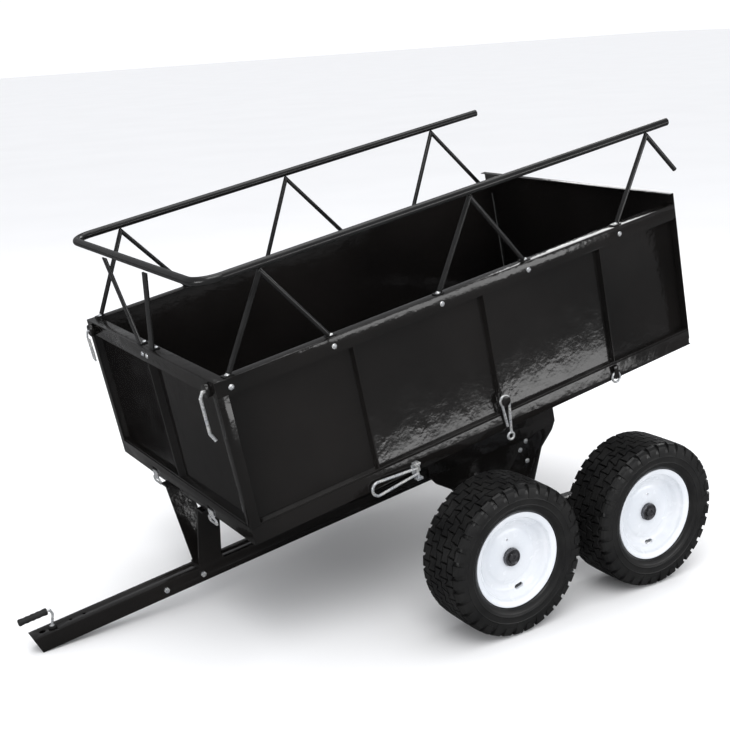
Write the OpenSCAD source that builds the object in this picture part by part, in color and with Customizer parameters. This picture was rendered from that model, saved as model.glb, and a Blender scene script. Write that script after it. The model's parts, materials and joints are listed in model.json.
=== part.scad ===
// Tow behind tandem cart: a tilting sheet steel bed with a guard rail, carried on a
// tongue, a cross axle and two walking beams with four wheels.
// Millimetres. +X forward to the hitch, +Y to the cart's left, +Z up, ground at z = 0.
// At rest the tongue's tip and all four tyres are on the ground, so the bed noses down.

/* [Bed] */
// Length of the bed over its tray
bed_l = 1360; // [1000:5:1800]
// Width of the bed over its tray
bed_w = 816; // [700:2:1000]
// Height of the bed from the tray's underside to its top edge
bed_h = 395; // [300:5:520]
// Height of the tray's upturned band
band_h = 41; // [30:1:60]
// Thickness of the bed's sheet steel
sheet = 2; // [1.5:0.5:3]
// How far the pressed web is set in from the band
web_inset = 20; // [5:0.5:30]
// Height of the tailgate above the side walls
gate_rise = 30; // [0:1:60]
// Leg of the top angles, down the wall
angle_leg = 36; // [20:1:48]
// Flange of the top angles, in over the wall
angle_flange = 30; // [22:1:40]
// Distance from the cross axle forward to the bed's front
front_reach = 742; // [600:2:900]
// Distance from the cross axle up to the tray's underside
bed_lift = 234; // [200:2:300]
// Distance between the vertical beads of a side wall
bead_pitch = 372; // [280:2:420]
// Width of a pressed bead at its root
bead_w = 8; // [6:1:30]

/* [Guard rail] */
// Height of the rail's centre line above the tray's underside
rail_z = 612; // [560:2:700]
// Outside diameter of the rail's tube
rail_d = 20; // [16:1:28]
// Wall of the rail's tube
rail_wall = 2; // [1.5:0.5:3]
// Centre line radius of the rail's two corners
rail_bend = 55; // [40:1:90]
// Distance from the bed's front back to the rail's cross bar
rail_set_back = 20; // [12:1:60]
// Diameter of the bent side struts
strut_d = 12; // [8:1:14]
// Distance between the two feet of one V strut
v_span = 262; // [180:2:290]
// Distance from the bed's front to the first foot on the left wall
v_first_left = 40; // [30:1:60]
// Distance between the V struts on the left wall
v_pitch_left = 562; // [420:2:580]
// Distance from the bed's front to the first foot on the right wall
v_first_right = 34; // [30:1:60]
// Distance between the V struts on the right wall
v_pitch_right = 514; // [420:2:530]
// Half of the distance between the tops of the front flat struts
front_v_top = 132; // [80:2:200]
// Half of the distance between the feet of the front flat struts
front_v_foot = 38; // [30:1:60]
// Width of the front flat struts
flat_w = 24; // [18:1:32]
// Thickness of the front flat struts
flat_t = 4; // [3:0.5:6]

/* [Chassis] */
// Distance from the cross axle to the tongue's tip, along its underside
tongue_l = 1188; // [1000:2:1400]
// Width of the tongue's tube
tongue_w = 50; // [40:1:60]
// Height of the tongue's tube
tongue_h = 40; // [36:1:60]
// Wall of the tongue's tube
tongue_wall = 3; // [2:0.5:4]
// Angle by which the tongue rises forward, measured from the bed's floor
tongue_rise = 1.21; // [0:0.05:3]
// Diameter of the cross axle
axle_d = 28; // [24:1:32]
// Radius of the tow hole at the tongue's tip
tow_r = 8; // [6:0.5:9]
// Thickness of the front stand's plates
stand_t = 5; // [4:0.5:8]
// Half of the distance between the stand's plates, under the bed
stand_spread = 95; // [70:1:140]
// Diameter of the hitch pin
hitch_d = 12; // [10:0.5:14]

/* [Hangers] */
// Half of the distance between the two hangers' middle planes
hanger_y = 300; // [240:2:340]
// Thickness of the hanger plates
hanger_t = 6; // [4:0.5:8]
// Half of the hangers' width at the bed
hanger_half = 205; // [170:2:260]

/* [Walking beams] */
// Distance between the front and the rear wheel on one side
wheelbase = 433; // [410:1:500]
// Height of the beam's tube
beam_h = 50; // [50:1:80]
// Width of the beam's tube
beam_w = 40; // [30:1:50]
// Wall of the beam's tube
beam_wall = 3; // [2:0.5:5]
// Gap between the bed's side and the beam
beam_gap = 26; // [20:1:60]

/* [Wheels] */
// Outside diameter of the tyres
tyre_d = 374; // [330:2:400]
// Width of the tyres
tyre_w = 140; // [110:2:170]
// Outside diameter of the rim's flange
rim_d = 234; // [210:2:250]
// Thickness of the rim's sheet
rim_t = 3; // [2:0.5:4]
// Gap between the beam and the tyre's inner side
wheel_gap = 38; // [25:1:60]
// Diameter of the wheels' spindles
spindle_d = 20; // [16:1:25]
// Outside diameter of the wheel's hub tube
hub_d = 44; // [38:1:54]
// Depth of the rim's dish, from the outer flange to the wheel disc
dish = 30; // [16:1:40]

/* [Clearances] */
// Radial running gap between a shaft and its bush or bearing
run_gap = 0.05; // [0.02:0.01:0.1]
// Gap between parts that slide past each other
slide_gap = 0.6; // [0.3:0.1:1.5]
// Side gap between a turning hub and the washer next to it
end_gap = 0.3; // [0.2:0.1:1]

/* [Hidden] */
$fn = 48;

// Colours
black_coat = [0.05, 0.05, 0.055];
zinc = [0.72, 0.73, 0.75];
white_paint = [0.93, 0.94, 0.95];
rubber_black = [0.09, 0.09, 0.09];
bare_steel = [0.5, 0.5, 0.52];

// Wheels and ground
wheel_r = tyre_d / 2;
axle_r = axle_d / 2;
spindle_r = spindle_d / 2;

// The tongue's slope to the ground, so that its lower front corner is just on it
tongue_slope = asin(wheel_r / sqrt(pow(tongue_l, 2) + pow(tongue_h / 2, 2)))
    - atan((tongue_h / 2) / tongue_l);
// The bed's slope to the ground
pitch = tongue_slope + tongue_rise;

// Bed, seen from the cross axle
bed_front = front_reach;
bed_rear = front_reach - bed_l;
bed_top = bed_lift + bed_h;
half_w = bed_w / 2;
web_y = half_w - web_inset;
floor_z = bed_lift + sheet;
wall_top = bed_top - sheet;
// The tailgate stands behind the walls
gate_gap = 2;
gate_front = bed_rear + gate_gap + sheet;
wall_rear = gate_front + slide_gap;

// Tyres, beams and spindles, on the left
beam_in = half_w + beam_gap;
beam_out = beam_in + beam_w;
tyre_in = beam_out + wheel_gap;
tyre_out = tyre_in + tyre_w;
disc_y = tyre_out - 12 - dish;

// The tongue's slanted tip and its holes, measured from the axle
tip_cut = 13;
tow_x = tongue_l - 16;
pin_x = tow_x - 26;
spare_x = [pin_x - 46, pin_x - 81];

// The hitch pin's grip
grip_r = 9;
grip_l = 72;
grip_x = pin_x + 2;
grip_z = tongue_h / 2 + 46;

// The tailgate's hinge
gate_hinge_r = 7;
gate_hinge_x = bed_rear - gate_hinge_r;
gate_hinge_z = bed_lift + gate_hinge_r;

// The cart's middle, between the tailgate's hinge and the end of the grip, is at x = 0
x_rear = gate_hinge_x * cos(pitch) + gate_hinge_z * sin(pitch) - gate_hinge_r;
x_front = (grip_x + grip_l) * cos(tongue_slope) + (grip_z + grip_r) * sin(tongue_slope);
x_shift = -(x_front + x_rear) / 2;

// ---------- Frames ----------

// Level parts: the origin is on the cross axle's middle
module level_frame() {
    translate([x_shift, 0, wheel_r]) children();
}

// Parts that lie along the bed
module bed_frame() {
    level_frame() rotate([0, pitch, 0]) children();
}

// Parts that lie along the tongue
module tongue_frame() {
    level_frame() rotate([0, tongue_slope, 0]) children();
}

// Both sides of the cart
module both_sides() {
    children();
    mirror([0, 1, 0]) children();
}

// ---------- Small shapes ----------

// A round bar between two points
module bar(from, to, r) {
    run = to - from;
    len = norm(run);
    translate(from)
        rotate([0, acos(run[2] / len), atan2(run[1], run[0])])
            cylinder(h = len, r = r);
}

// How far the ball at a wire's bend stands proud of the wire
bend_proud = 0.15;

// A round bar bent at each of its inner points
module bent_bar(points, r) {
    for (i = [0 : len(points) - 2]) bar(points[i], points[i + 1], r);
    for (i = [1 : len(points) - 2]) translate(points[i]) sphere(r = r + bend_proud);
}

// A disc or a tube along Y, from y0 to y1
module along_y(y0, y1, r) {
    translate([0, y0, 0]) rotate([-90, 0, 0]) cylinder(h = y1 - y0, r = r);
}

// A ring along Y, from y0 to y1
module ring_y(y0, y1, r_out, r_in) {
    difference() {
        along_y(y0, y1, r_out);
        along_y(y0 - 1, y1 + 1, r_in);
    }
}

// A hexagon nut or bolt head along Z, standing on z = 0
module hex(flats, h) {
    cylinder(h = h, d = flats / cos(30), $fn = 6);
}

// A low domed bolt head on z = 0
module dome_head(r, h) {
    intersection() {
        cylinder(h = h, r = r);
        translate([0, 0, h - (r * r + h * h) / (2 * h)]) sphere(r = (r * r + h * h) / (2 * h));
    }
}

// ---------- Chassis ----------

spare_r = 4.5;
stand_bolt_x = front_reach + 13;
spare_bolt_x = front_reach + 116;
base_bolt_x = front_reach - 16;
bolt_r = 4;

module tongue_tube() {
    color(black_coat) tongue_frame() difference() {
        translate([-tongue_h, -tongue_w / 2, -tongue_h / 2])
            cube([tongue_l + tongue_h + tip_cut, tongue_w, tongue_h]);
        // the hollow
        translate([-tongue_h - 1, -tongue_w / 2 + tongue_wall, -tongue_h / 2 + tongue_wall])
            cube([tongue_l + 2 * tongue_h, tongue_w - 2 * tongue_wall, tongue_h - 2 * tongue_wall]);
        // the slanted tip: the top wall reaches further than the bottom one
        translate([tongue_l, 0, -tongue_h / 2])
            rotate([0, atan(tip_cut / tongue_h), 0])
                translate([0, -tongue_w, -tongue_h]) cube([tongue_h, 2 * tongue_w, 3 * tongue_h]);
        // tow hole, hitch pin hole and spare holes
        translate([tow_x, 0, -tongue_h]) cylinder(h = 2 * tongue_h, r = tow_r);
        translate([pin_x, 0, -tongue_h]) cylinder(h = 2 * tongue_h, r = hitch_d / 2 + slide_gap / 2);
        for (x = spare_x) translate([x, 0, 0]) cylinder(h = tongue_h, r = spare_r);
        // the cross axle and the side bolts
        along_y(-tongue_w, tongue_w, axle_r + run_gap);
        for (x = [stand_bolt_x, spare_bolt_x])
            translate([x, 0, 0]) along_y(-tongue_w, tongue_w, bolt_r + run_gap);
        translate([base_bolt_x, 0, 0]) cylinder(h = tongue_h, r = bolt_r + run_gap);
    }
}

cross_half = hanger_y - 34;
cross_h = 46;

// Two square tubes on the axle, from the tongue out to the collars
module cross_tube() {
    color(black_coat) level_frame() both_sides() difference() {
        translate([-cross_h / 2, tongue_w / 2, -cross_h / 2])
            cube([cross_h, cross_half - tongue_w / 2, cross_h]);
        translate([0, 0, 0]) along_y(tongue_w / 2 - 1, cross_half + 1, axle_r + run_gap);
    }
}

axle_half = beam_out + 26;

module cross_axle() {
    color(bare_steel) level_frame() along_y(-axle_half, axle_half, axle_r);
}

bush_l = 36;
bush_wall = 6;
hanger_bush_in = hanger_y - bush_l / 2;
hanger_bush_out = hanger_y + bush_l / 2;

// Collars that hold the hangers' bushes and the beams in place
module axle_collars() {
    color(zinc) level_frame() both_sides() {
        ring_y(cross_half, hanger_bush_in - end_gap, axle_r + 8, axle_r);
        ring_y(hanger_bush_out + end_gap, hanger_bush_out + 16, axle_r + 8, axle_r);
        ring_y(beam_in - 16, beam_in - 4 - end_gap, axle_r + 8, axle_r);
    }
}

module axle_nuts() {
    color(zinc) level_frame() both_sides() {
        ring_y(beam_out + 4 + end_gap, beam_out + 8, axle_r + 10, axle_r);
        translate([0, beam_out + 8, 0]) difference() {
            rotate([-90, 0, 0]) hex(41, 14);
            along_y(-1, 15, axle_r);
        }
    }
}

pad_t = 6;
seat_gap = 0.3;
stand_top = bed_lift - pad_t - seat_gap;
stand_flange = 34;
// Height of the tongue's middle under the bed's front
tongue_mid = front_reach * sin(tongue_rise);

// One plate of the stand: up from the base plate, out to the bed and a flange under it
module stand_plate() {
    y0 = tongue_w / 2 - stand_t;
    y1 = stand_spread;
    low = tongue_mid + tongue_h / 2 + stand_t / 2;
    knee = low + 14;
    intersection() {
        translate([front_reach - 100, 0, 0]) rotate([90, 0, 90])
            linear_extrude(height = 180)
                polygon([[y0, low], [y0 + stand_t, low], [y0 + stand_t, knee - 2],
                    [y1 + stand_t, stand_top - stand_t - 4], [y1 + stand_t, stand_top - stand_t],
                    [y1 + stand_flange, stand_top - stand_t], [y1 + stand_flange, stand_top],
                    [y1, stand_top], [y1, stand_top - 8], [y0, knee]]);
        translate([front_reach, 200, 0]) rotate([90, 0, 0])
            linear_extrude(height = 200)
                polygon([[-48, low - 1], [16, low - 1], [16, knee], [8, stand_top + 1],
                    [-50, stand_top + 1]]);
    }
}

// A base plate on the tongue's top with two plates that spread out to the bed
module front_stand() {
    color(black_coat) difference() {
        union() {
            tongue_frame() translate([front_reach - 52, -tongue_w / 2, tongue_h / 2])
                cube([72, tongue_w, stand_t]);
            bed_frame() both_sides() stand_plate();
        }
        tongue_frame() translate([base_bolt_x, 0, 0]) cylinder(h = tongue_h, r = bolt_r + run_gap);
    }
}

// Rubber pads on the stand's flanges, which the bed's front rests on
module stand_pads() {
    color(rubber_black) bed_frame() both_sides()
        translate([front_reach - 26, stand_spread + 18, stand_top]) cylinder(h = pad_t, r = 13);
}

// A through bolt along Y with a hexagon head on the left and a nut on the right
module cross_bolt(x, reach) {
    translate([x, 0, 0]) {
        along_y(-reach - 9, reach, bolt_r);
        translate([0, reach, 0]) rotate([-90, 0, 0]) hex(13, 5);
        translate([0, -reach, 0]) difference() {
            rotate([90, 0, 0]) hex(13, 7);
            along_y(-8, 1, bolt_r);
        }
    }
}

// The bolt of the stand's base plate: head on top, nut under the tongue's top wall
module stand_bolts() {
    nut = tongue_h / 2 - tongue_wall;
    color(zinc) tongue_frame() translate([base_bolt_x, 0, 0]) {
        translate([0, 0, nut - 8]) cylinder(h = 8 + tongue_wall + stand_t, r = bolt_r);
        translate([0, 0, tongue_h / 2 + stand_t]) hex(13, 5);
        translate([0, 0, nut - 6]) difference() {
            hex(13, 6);
            translate([0, 0, -1]) cylinder(h = 8, r = bolt_r);
        }
    }
}

module tongue_bolts() {
    color(zinc) tongue_frame() for (x = [stand_bolt_x, spare_bolt_x]) cross_bolt(x, tongue_w / 2);
}

// Hitch pin: a shank through the tongue, a bend over its top and a dark grip
wire_r = 3;

module hitch_pin() {
    color(zinc) tongue_frame() translate([pin_x, 0, 0]) {
        translate([0, 0, -tongue_h / 2 - 2]) cylinder(h = tongue_h + 8, r = hitch_d / 2);
        bent_bar([[0, 0, tongue_h / 2 + 4], [-9, 0, grip_z - 12], [-5, 0, grip_z], [6, 0, grip_z]],
            wire_r);
    }
}

module hitch_grip() {
    color(rubber_black) tongue_frame()
        translate([grip_x, 0, grip_z]) rotate([0, 90, 0]) difference() {
            cylinder(h = grip_l, r = grip_r);
            translate([0, 0, -1]) cylinder(h = 5, r = wire_r);
        }
}

// A rubber keeper under the pin's shoulder
module hitch_clip() {
    color(rubber_black) tongue_frame()
        translate([pin_x, 0, tongue_h / 2 + seat_gap]) difference() {
            cylinder(h = 5, r = 11);
            translate([0, 0, -1]) cylinder(h = 7, r = hitch_d / 2);
        }
}

// ---------- Bed ----------

// The tray: a floor with a band on its front and sides, open at the rear
module tray() {
    color(black_coat) bed_frame() difference() {
        translate([bed_rear, -half_w, bed_lift]) cube([bed_l, bed_w, band_h]);
        translate([bed_rear - 1, -half_w + sheet, floor_z])
            cube([bed_l + 1 - sheet, bed_w - 2 * sheet, band_h]);
        // the side bands stop short of the tailgate
        translate([bed_rear - 1, -half_w - 1, floor_z])
            cube([wall_rear - bed_rear + 1, bed_w + 2, band_h]);
        // slots for the edge hooks
        for (s = [-1, 1])
            translate([bed_front - 10, s * hook_y - hook_w / 2 + 8, bed_lift + 14])
                cube([20, hook_w - 16, 6]);
    }
}

channel_w = 40;
channel_h = 25;
channel_half = hanger_y + 20;
channel_x = [bed_rear + 60, hanger_half - 60, -hanger_half + 60, bed_front - 150];

// Top hat channels across the tray's underside
module floor_channels() {
    color(black_coat) bed_frame() for (x = channel_x)
        translate([x - channel_w / 2, -channel_half, bed_lift - channel_h]) difference() {
            cube([channel_w, 2 * channel_half, channel_h]);
            translate([sheet, -1, sheet]) cube([channel_w - 2 * sheet, bed_w, channel_h]);
        }
}

hem_low = band_h + 5;
hem_high = angle_leg + 4;

// Section of a wall: y out from the cart's middle, z up, with two outward hems
module wall_section(out) {
    z0 = floor_z;
    z1 = wall_top;
    web = out - web_inset;
    translate([web - sheet, z0]) square([sheet, z1 - z0]);
    translate([out - 2 * sheet, z0]) square([sheet, bed_lift + hem_low - z0]);
    translate([web - sheet, bed_lift + hem_low - sheet])
        square([web_inset, sheet]);
    translate([out - 2 * sheet, bed_top - hem_high]) square([sheet, z1 - bed_top + hem_high]);
    translate([web - sheet, bed_top - hem_high]) square([web_inset, sheet]);
}

// A pressed bead standing out of a web, along Z between the two hems
module wall_bead() {
    h = bed_h - hem_low - hem_high;
    translate([0, 0, bed_lift + hem_low]) linear_extrude(height = h)
        polygon([[-bead_w / 2, 0], [-bead_w / 4, web_inset - sheet],
            [bead_w / 4, web_inset - sheet], [bead_w / 2, 0]]);
}

module side_wall() {
    web = half_w - web_inset;
    translate([wall_rear, 0, 0]) rotate([90, 0, 90])
        linear_extrude(height = bed_front - sheet - wall_rear) wall_section(half_w);
    for (i = [0 : 2]) translate([bed_front - bead_first - i * bead_pitch, web, 0]) wall_bead();
}

bead_first = 347;

module left_wall() {
    color(black_coat) bed_frame() side_wall();
}

module right_wall() {
    color(black_coat) bed_frame() mirror([0, 1, 0]) side_wall();
}

module front_wall() {
    inner = web_y - sheet;
    color(black_coat) bed_frame() {
        translate([0, inner, 0]) rotate([90, 0, 0])
            linear_extrude(height = 2 * inner) wall_section(bed_front);
        translate([bed_front - web_inset, 0, 0]) rotate([0, 0, -90]) wall_bead();
    }
}

// An angle over the top of a side wall, butted against the front angle's flange
module top_angle() {
    run = bed_front - wall_rear;
    translate([wall_rear, half_w - sheet, bed_top - angle_leg])
        cube([run, sheet, angle_leg - sheet]);
    translate([wall_rear, half_w - angle_flange, bed_top - sheet])
        cube([run - angle_flange, angle_flange, sheet]);
}

module left_top_angle() {
    color(black_coat) bed_frame() top_angle();
}

module right_top_angle() {
    color(black_coat) bed_frame() mirror([0, 1, 0]) top_angle();
}

module front_top_angle() {
    color(black_coat) bed_frame() {
        translate([bed_front - sheet, -half_w + sheet, bed_top - angle_leg])
            cube([sheet, bed_w - 2 * sheet, angle_leg - sheet]);
        translate([bed_front - angle_flange, -half_w, bed_top - sheet])
            cube([angle_flange, bed_w, sheet]);
    }
}

// Upright angles on the two front corners, between the band and the top angles
module corner_angles() {
    leg = 26;
    z0 = bed_lift + band_h;
    h = bed_h - band_h - angle_leg;
    color(black_coat) bed_frame() both_sides() {
        translate([bed_front - leg, half_w - sheet, z0]) cube([leg, sheet, h]);
        translate([bed_front - sheet, half_w - leg, z0]) cube([sheet, leg, h]);
    }
}

// ---------- Guard rail ----------

rail_r = rail_d / 2;
rail_top = bed_lift + rail_z;
rail_front = bed_front - rail_set_back;
rail_bolt_r = 3;
foot_t = 3;

// The rail's path as a round bar of radius r: two sides, two bends and a cross bar
module rail_path(r, spare) {
    side = rail_front - rail_bend - bed_rear + spare;
    both_sides() {
        translate([bed_rear - spare, half_w, rail_top]) rotate([0, 90, 0]) cylinder(h = side, r = r);
        translate([rail_front - rail_bend, half_w - rail_bend, rail_top])
            rotate_extrude(angle = 90) translate([rail_bend, 0]) circle(r = r);
    }
    translate([rail_front, -half_w + rail_bend, rail_top])
        rotate([-90, 0, 0]) cylinder(h = bed_w - 2 * rail_bend, r = r);
}

module top_rail() {
    color(black_coat) bed_frame() difference() {
        rail_path(rail_r, 0);
        rail_path(rail_r - rail_wall, 1);
    }
}

strut_r = strut_d / 2;
apex_z = rail_top - rail_r - strut_r - bend_proud;
foot_in = half_w - angle_flange / 2;

// A flattened foot with its bolt hole
module strut_foot(x) {
    translate([x, foot_in, bed_top]) difference() {
        translate([-12, -9, 0]) cube([24, 18, foot_t]);
        translate([0, 0, -1]) cylinder(h = foot_t + 2, r = rail_bolt_r);
    }
}

// A strut leg from its foot up to the apex under the rail
module strut_leg(x, apex) {
    side = x > apex ? -1 : 1;
    bar([x + side * 5, foot_in, bed_top + foot_t + 2], [apex, half_w, apex_z], strut_r);
    strut_foot(x);
}

// Distance of a V strut's apex behind its front foot
function apex_of(x) = x - v_span / 2 + 8;

// The bend at a V strut's apex
module strut_bend(x) {
    translate([apex_of(x), half_w, apex_z]) sphere(r = strut_r + bend_proud);
}

// One V strut whose front foot is at x
module v_strut(x) {
    strut_leg(x, apex_of(x));
    strut_leg(x - v_span, apex_of(x));
    strut_bend(x);
}

// The last left strut: its rear leg ends free past the bed
module free_strut(x) {
    strut_leg(x, apex_of(x));
    bar([apex_of(x), half_w, apex_z], [apex_of(x) - 84, half_w, apex_z - 112], strut_r);
    strut_bend(x);
}

module left_struts() {
    color(black_coat) bed_frame() {
        for (i = [0 : 1]) v_strut(bed_front - v_first_left - i * v_pitch_left);
        free_strut(bed_front - v_first_left - 2 * v_pitch_left);
    }
}

module right_struts() {
    color(black_coat) bed_frame() mirror([0, 1, 0])
        for (i = [0 : 2]) v_strut(bed_front - v_first_right - i * v_pitch_right);
}

// Flat bars from the front angle up to the rail's cross bar
module front_struts() {
    dy = front_v_top - front_v_foot;
    dx = rail_front - (bed_front - angle_flange / 2);
    rise = rail_top - rail_r - bed_top;
    run = norm([dy, rise]);
    color(black_coat) bed_frame() both_sides()
        translate([bed_front - angle_flange / 2, front_v_foot, bed_top]) {
            translate([-10, -flat_w / 2, 0]) difference() {
                cube([20, flat_w, foot_t]);
                translate([6, flat_w / 2, -1]) cylinder(h = foot_t + 2, r = rail_bolt_r);
            }
            intersection() {
                rotate([-atan(dy / rise), 0, 0]) translate([4, -flat_w / 2, -flat_w])
                    cube([flat_t, flat_w, run + 2 * flat_w]);
                translate([-flat_w, -bed_w, foot_t]) cube([2 * flat_w, 2 * bed_w, rise - foot_t]);
            }
        }
}

function left_feet() = [for (i = [0 : 2]) each i < 2
    ? [bed_front - v_first_left - i * v_pitch_left, bed_front - v_first_left - i * v_pitch_left - v_span]
    : [bed_front - v_first_left - i * v_pitch_left]];
function right_feet() = [for (i = [0 : 2]) each
    [bed_front - v_first_right - i * v_pitch_right, bed_front - v_first_right - i * v_pitch_right - v_span]];

// Zinc dome heads on the top flange and on the face of the side angles
module side_bolts(feet) {
    for (x = feet) {
        translate([x, foot_in, bed_top + foot_t]) dome_head(6.5, 3.5);
        translate([x + 3, half_w, bed_top - 0.6 * angle_leg]) rotate([-90, 0, 0]) dome_head(6.5, 3.5);
    }
}

module rail_bolts() {
    color(zinc) bed_frame() {
        side_bolts(left_feet());
        mirror([0, 1, 0]) side_bolts(right_feet());
        for (s = [-1, 1]) {
            translate([bed_front - angle_flange / 2 - 4, s * front_v_foot, bed_top + foot_t])
                dome_head(5.5, 3);
            translate([bed_front, s * 14, bed_top - angle_leg / 2])
                rotate([0, 90, 0]) dome_head(6.5, 3.5);
        }
    }
}

// ---------- Hangers ----------

lobe_r = 62;
hanger_hole = [[-101, 121], [-79, 103], [-96, 65]];
hanger_bolt_r = 4;
bush_r = axle_r + bush_wall;

module hanger_plate() {
    difference() {
        rotate([90, 0, 0]) linear_extrude(height = hanger_t, center = true)
            difference() {
                union() {
                    polygon([[hanger_half, bed_lift - 0.2], [hanger_half, 140],
                        [hanger_half - 14, 118], [hanger_half - 56, 84], [108, 0], [60, -16],
                        [-60, -16], [-108, 0], [-hanger_half + 56, 84],
                        [-hanger_half + 14, 118], [-hanger_half, 140],
                        [-hanger_half, bed_lift - 0.2]]);
                    circle(r = lobe_r);
                }
                circle(r = bush_r);
            }
        for (p = hanger_hole) translate([p[0], 0, p[1]]) along_y(-9, 9, hanger_bolt_r);
        // room for the floor channels
        for (x = channel_x) translate([x - channel_w / 2 - 0.3, -9, bed_lift - channel_h - 0.3])
            cube([channel_w + 0.6, 18, channel_h + 1]);
    }
}

module hangers() {
    color(black_coat) bed_frame() both_sides() translate([0, hanger_y, 0]) hanger_plate();
}

module hanger_bushes() {
    color(bare_steel) bed_frame() both_sides()
        ring_y(hanger_bush_in, hanger_bush_out, bush_r - 0.02, axle_r + run_gap);
}

module hanger_bolts() {
    color(zinc) bed_frame() both_sides() for (p = hanger_hole)
        translate([p[0], hanger_y, p[1]]) {
            along_y(-hanger_t / 2 - 9, hanger_t / 2 + 1, hanger_bolt_r - run_gap);
            translate([0, hanger_t / 2, 0]) rotate([-90, 0, 0]) dome_head(7, 3.5);
            translate([0, -hanger_t / 2, 0]) difference() {
                rotate([90, 0, 0]) hex(13, 7);
                along_y(-9, 1, hanger_bolt_r - run_gap);
            }
        }
}

// ---------- Small hardware of the bed ----------

socket_y = half_w - 36;
socket_z = bed_top - 22;
socket_r = 16;
socket_l = 12;
corner_pin_r = 4;

// Black round sockets on the front angle's two ends
module pin_sockets() {
    color(black_coat) bed_frame() both_sides()
        translate([bed_front, socket_y, socket_z]) rotate([0, 90, 0]) difference() {
            cylinder(h = socket_l, r = socket_r);
            translate([0, 0, 4]) cylinder(h = socket_l, r = corner_pin_r + run_gap);
        }
}

// Left corner pin: straight into its socket, then hanging down the wall
module left_corner_pin() {
    x0 = bed_front + 5;
    x1 = bed_front + socket_l + 5;
    color(zinc) bed_frame() translate([0, socket_y, 0])
        bent_bar([[x0, 0, socket_z], [x1, 0, socket_z], [x1 + 6, -4, socket_z - 14],
            [x1 + 4, -8, socket_z - 100], [x1 - 4, -2, socket_z - 118]], corner_pin_r);
}

// Right corner pin: a wire loop that hangs from its socket
module right_corner_pin() {
    x0 = bed_front + 5;
    x1 = bed_front + socket_l + 5;
    color(zinc) bed_frame() translate([0, -socket_y, 0]) {
        bar([x0, 0, socket_z], [x1, 0, socket_z], corner_pin_r);
        bent_bar([[x1, 0, socket_z], [x1 + 2, -7, socket_z - 18], [x1 + 2, -4, socket_z - 76],
            [x1 + 1, 5, socket_z - 82], [x1 + 1, 7, socket_z - 60], [x1 + 1, 3, socket_z - 20]], 2.5);
    }
}

hook_y = 175;
hook_w = 52;

// Zinc slotted plates on the tray's lower front edge
module edge_hooks() {
    end_r = 9;
    slot_r = 3.5;
    color(zinc) bed_frame() both_sides() translate([bed_front, hook_y, bed_lift]) {
        rotate([90, 0, 90]) linear_extrude(height = 3) difference() {
            union() {
                translate([-hook_w / 2 + end_r, -24]) square([hook_w - 2 * end_r, 2 * end_r]);
                for (s = [-1, 1]) translate([s * (hook_w / 2 - end_r), end_r - 24]) circle(r = end_r);
                translate([-14, -12]) square([28, 24]);
            }
            translate([-10, end_r - slot_r - 24]) square([20, 2 * slot_r]);
            for (s = [-1, 1]) translate([s * 10, end_r - 24]) circle(r = slot_r);
        }
        translate([-18, -14, -3]) cube([18, 28, 3 - seat_gap]);
    }
}

// Keeper and wire bail on the left side's lower edge
bail_r = 3.5;
bail_x = front_reach - 440;
bail_z = bed_lift + 4;
bail_l = 112;
bail_end = 17;
bail_half = 13;
bail_y = half_w + 9;
keeper_w = 44;

module bail_keeper() {
    color(zinc) bed_frame() translate([bail_x, half_w, bail_z]) {
        translate([-12, 0, -6]) cube([24, 2.5, 22]);
        for (z = [-bail_half - 9, bail_half + 3]) translate([0, 0, z]) difference() {
            translate([-8, 0, 0]) cube([16, 16, 6]);
            translate([0, bail_y - half_w, -1]) cylinder(h = 8, r = bail_r + run_gap);
        }
        translate([-8, 0, -bail_half - 9]) cube([16, 2.5, 2 * bail_half + 18]);
    }
}

// A hairpin of wire that swings on its two ends in the keeper
module bail() {
    color(zinc) bed_frame() translate([bail_x, bail_y, bail_z]) {
        translate([0, 0, -bail_half - 10]) cylinder(h = 2 * bail_half + 20, r = bail_r);
        for (s = [-1, 1]) {
            bar([0, 0, s * (bail_half - 6)], [bail_l, 0, s * bail_end], bail_r);
            translate([bail_l, 0, s * bail_end]) sphere(r = bail_r + bend_proud);
        }
        translate([bail_l, 0, 0]) rotate([90, 0, 0]) rotate([0, 0, -90])
            rotate_extrude(angle = 180) translate([bail_end, 0]) circle(r = bail_r);
    }
}

// Hook pin: a wire with a crook at the top and an eye at the bottom, on a lug under the
// middle bead
hook_x = front_reach - 722;
hook_r = 3.5;
crook_r = 13;
hook_len = 84;

hook_z = bed_lift + 78;
peg_r = crook_r - hook_r - seat_gap;

// Black pegs and straps on the left side: one peg holds the hook pin's crook, and a strap
// traps the ring
module side_pegs() {
    color(black_coat) bed_frame() {
        translate([hook_x, 0, hook_z]) {
            along_y(half_w - sheet, half_w + 12, peg_r);
            along_y(half_w + 12, half_w + 14, peg_r + 4);
        }
        translate([ring_x - 7, half_w, bed_lift + 2]) difference() {
            cube([14, 9, band_h - 6]);
            translate([-1, -1, -1]) cube([16, 8, 24]);
        }
    }
}

module hook_pin() {
    start = 220 - 180;
    tip = [crook_r * cos(start), 0, -crook_r * sin(start)];
    color(zinc) bed_frame() translate([hook_x, half_w + 7, hook_z]) {
        rotate([90, 0, 0]) rotate([0, 0, -start]) rotate_extrude(angle = 220)
            translate([crook_r, 0]) circle(r = hook_r);
        for (p = [tip, [-crook_r, 0, 0]]) translate(p) sphere(r = hook_r + bend_proud);
        bar([-crook_r, 0, 0], [-4, 0, -hook_len], hook_r);
        bar(tip, [4, 0, -68], hook_r);
        translate([-1, 0, -hook_len - 12]) rotate([90, 0, 0]) rotate_extrude()
            translate([9, 0]) circle(r = 3);
        translate([-4, 0, -hook_len]) sphere(r = hook_r + bend_proud);
    }
}

// A ring on the tray's lower edge under the rear bead
ring_x = front_reach - 1084;
ring_r = 3;

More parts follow.
